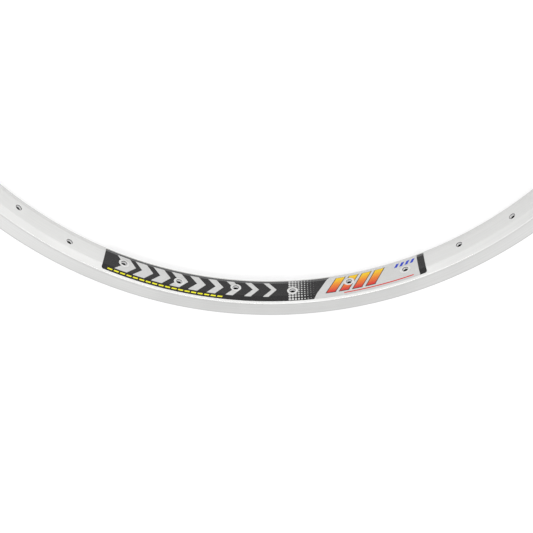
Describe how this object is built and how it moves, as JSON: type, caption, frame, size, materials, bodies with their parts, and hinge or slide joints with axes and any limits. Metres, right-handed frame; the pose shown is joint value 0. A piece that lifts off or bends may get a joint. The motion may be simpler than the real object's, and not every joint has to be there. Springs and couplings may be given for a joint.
{
  "type": "bicycle rim",
  "caption": "Double-wall aluminium bicycle rim for rim brakes: a hollow hoop with hooked tyre flanges, flat brake tracks, staggered spoke holes, a valve hole and a printed decal.",
  "frame": {"origin": "centre of the hoop, on the axle line and the mid-plane", "axes": "+Z along the axle line, +X through the valve hole, -Y through the middle of the decal"},
  "size_m": [0.5709, 0.571, 0.03],
  "materials": {
    "rim_aluminium": "satin silver anodised, with machined brake tracks",
    "sleeve_aluminium": "plain extruded",
    "decal_film": "printed vinyl film"
  },
  "bodies": {
    "root": {"rim_hoop": "rim_aluminium", "joint_sleeve": "sleeve_aluminium", "decal": "decal_film"}
  },
  "joints": []
}
